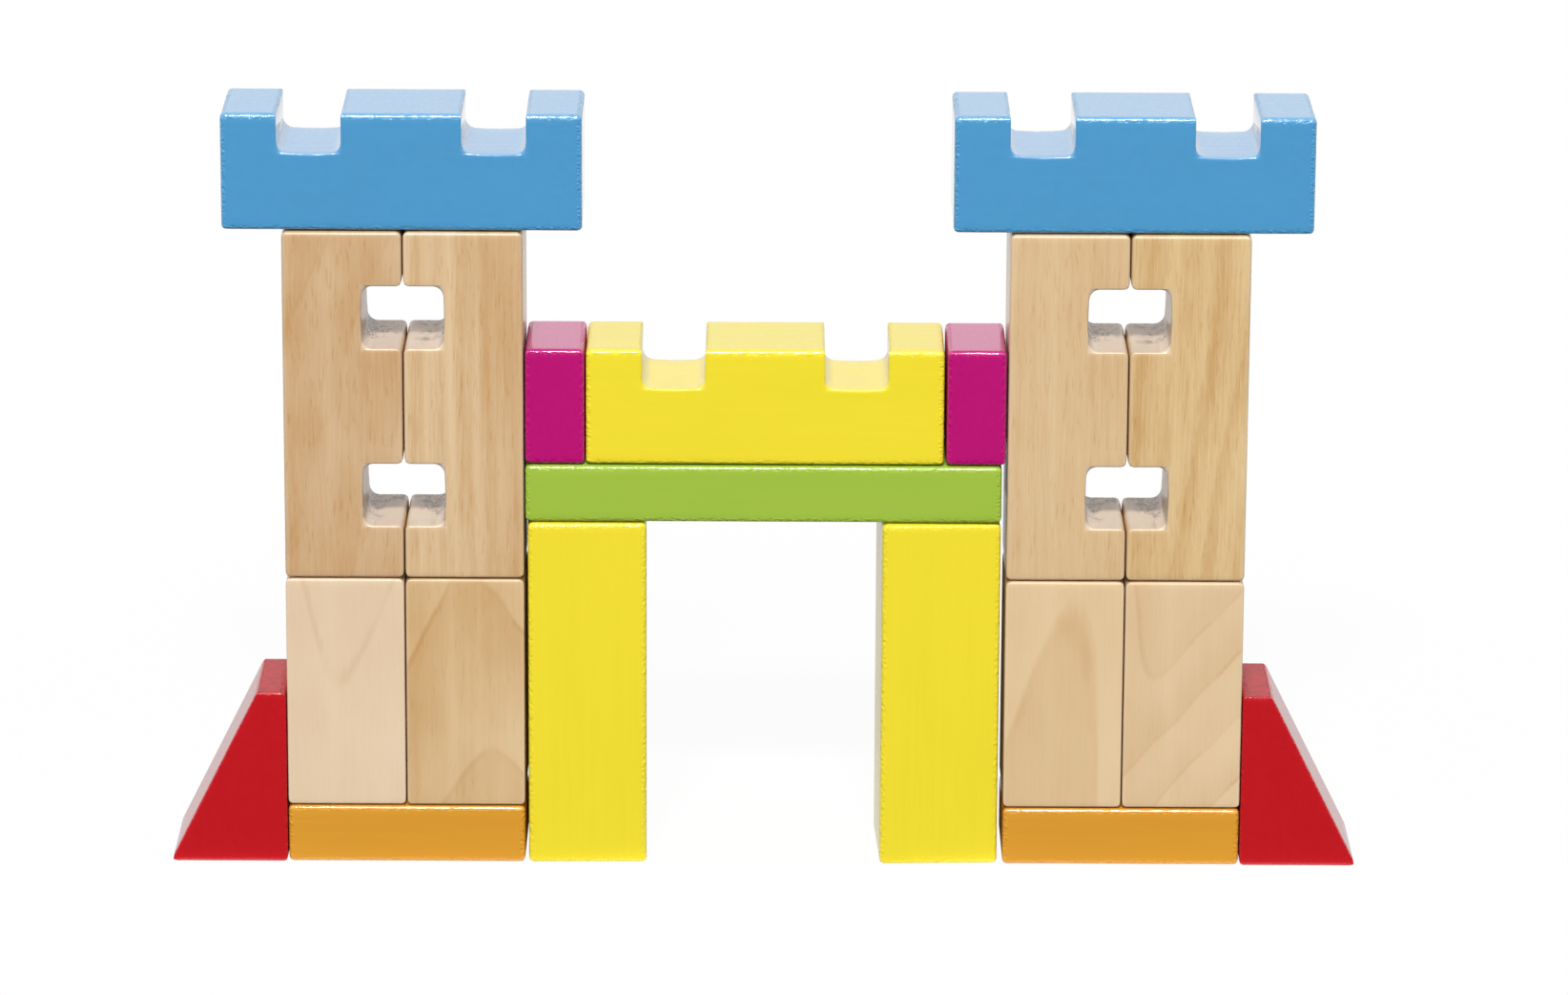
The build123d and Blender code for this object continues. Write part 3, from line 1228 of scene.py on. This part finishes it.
def make_floor():
    """White paper under the castle, from just before its front to well behind it."""
    low = cad_bounds[0]
    bm = bmesh.new()
    bmesh.ops.create_grid(bm, x_segments=8, y_segments=8, size=1.0)
    bmesh.ops.scale(bm, vec=(PAPER_HALF_WIDTH, PAPER_HALF_DEPTH, 1.0), verts=bm.verts[:])
    middle = PAPER_HALF_DEPTH + low.y - MM
    bmesh.ops.translate(bm, vec=(0.0, middle, low.z), verts=bm.verts[:])
    mesh = bpy.data.meshes.new("white_paper")
    bm.to_mesh(mesh)
    bm.free()
    mesh.materials.append(floor_material())
    paper = bpy.data.objects.new("white_paper", mesh)
    bpy.context.scene.collection.objects.link(paper)


def lamp_direction(azimuth, elevation):
    """Towards a lamp: azimuth 0 is in front of the castle, positive to the right."""
    around, above = math.radians(azimuth), math.radians(elevation)
    return Vector((
        math.sin(around) * math.cos(above),
        -math.cos(around) * math.cos(above),
        math.sin(above),
    ))


def make_lamp(name, direction, distance, width, height, power, mirrored):
    """A flat lamp that faces the castle from a direction."""
    lamp = bpy.data.lights.new(name, "AREA")
    lamp.shape = "RECTANGLE"
    lamp.size = width
    lamp.size_y = height
    lamp.energy = power
    light = bpy.data.objects.new(name, lamp)
    bpy.context.scene.collection.objects.link(light)
    towards = direction.normalized()
    light.location = CASTLE_MIDDLE + towards * distance
    light.rotation_euler = towards.to_track_quat("Z", "Y").to_euler()
    light.visible_camera = False
    light.visible_glossy = mirrored


def make_camera(distance):
    """A long lens, looking slightly down on the castle's front."""
    lens = bpy.data.cameras.new("front_camera")
    lens.sensor_width = 36.0
    lens.lens = USUAL_LENS * distance / USUAL_DISTANCE
    lens.clip_end = 20.0
    camera = bpy.data.objects.new("front_camera", lens)
    bpy.context.scene.collection.objects.link(camera)
    forward = Vector((
        -math.sin(CAMERA_YAW) * math.cos(CAMERA_TILT),
        math.cos(CAMERA_YAW) * math.cos(CAMERA_TILT),
        -math.sin(CAMERA_TILT),
    ))
    level_right = forward.cross(Vector((0, 0, 1))).normalized()
    level_up = level_right.cross(forward)
    right = level_right * math.cos(CAMERA_ROLL) + level_up * math.sin(CAMERA_ROLL)
    up = level_up * math.cos(CAMERA_ROLL) - level_right * math.sin(CAMERA_ROLL)
    turn = Matrix((right, up, -forward)).transposed().to_4x4()
    place = USUAL_PLACE + forward * (USUAL_DISTANCE - distance)
    camera.matrix_world = Matrix.Translation(place) @ turn
    bpy.context.scene.camera = camera


class CASTLE_OT_stage(bpy.types.Operator):
    """Set up the floor, the white room, the lamps and the camera"""

    bl_idname = "castle.stage"
    bl_label = "Stage"

    def execute(self, context):
        stage = context.scene.castle_stage
        context.scene.view_settings.view_transform = "Standard"
        make_room(stage.room_level)
        make_floor()
        make_lamp(
            "key_lamp", lamp_direction(-3, 44), distance=6.5, width=1.6, height=0.55,
            power=stage.key_power, mirrored=True,
        )
        make_lamp(
            "fill_lamp", lamp_direction(0, 26), distance=5.0, width=2.5, height=2.5,
            power=stage.fill_power, mirrored=False,
        )
        make_camera(stage.camera_distance)
        return {"FINISHED"}


# ---------------------------------------------------------------- panel and main


OPERATORS = (
    CASTLE_OT_stage,
    CASTLE_OT_base_planks,
    CASTLE_OT_short_blocks,
    CASTLE_OT_window_blocks,
    CASTLE_OT_tower_battlements,
    CASTLE_OT_gate_pillars,
    CASTLE_OT_gate_lintel,
    CASTLE_OT_gate_battlement,
    CASTLE_OT_half_blocks,
    CASTLE_OT_buttresses,
)
GROUPS = {
    "castle_sizes": CastleSizes,
    "castle_colours": CastleColours,
    "castle_stage": CastleStage,
}


class CASTLE_PT_blocks(bpy.types.Panel):
    """Sizes, colours and building steps of the castle"""

    bl_label = "Toy Block Castle"
    bl_idname = "CASTLE_PT_blocks"
    bl_space_type = "VIEW_3D"
    bl_region_type = "UI"
    bl_category = "Castle"

    def draw(self, context):
        for key, group in GROUPS.items():
            box = self.layout.box()
            for name in group.__annotations__:
                box.prop(getattr(context.scene, key), name)
        for operator in OPERATORS:
            self.layout.operator(operator.bl_idname)


def register():
    """Register the classes and give every scene its castle settings."""
    for group in GROUPS.values():
        bpy.utils.register_class(group)
    for key, group in GROUPS.items():
        setattr(bpy.types.Scene, key, PointerProperty(type=group))
    for operator in OPERATORS:
        bpy.utils.register_class(operator)
    bpy.utils.register_class(CASTLE_PT_blocks)


def unregister():
    """Take the classes and settings away again."""
    bpy.utils.unregister_class(CASTLE_PT_blocks)
    for operator in reversed(OPERATORS):
        bpy.utils.unregister_class(operator)
    for key in GROUPS:
        delattr(bpy.types.Scene, key)
    for group in reversed(GROUPS.values()):
        bpy.utils.unregister_class(group)


def main():
    """Build the stage and every block."""
    register()
    bpy.ops.castle.stage()
    bpy.ops.castle.base_planks()
    bpy.ops.castle.short_blocks()
    bpy.ops.castle.window_blocks()
    bpy.ops.castle.tower_battlements()
    bpy.ops.castle.gate_pillars()
    bpy.ops.castle.gate_lintel()
    bpy.ops.castle.gate_battlement()
    bpy.ops.castle.half_blocks()
    bpy.ops.castle.buttresses()


if __name__ == "__main__":
    main()
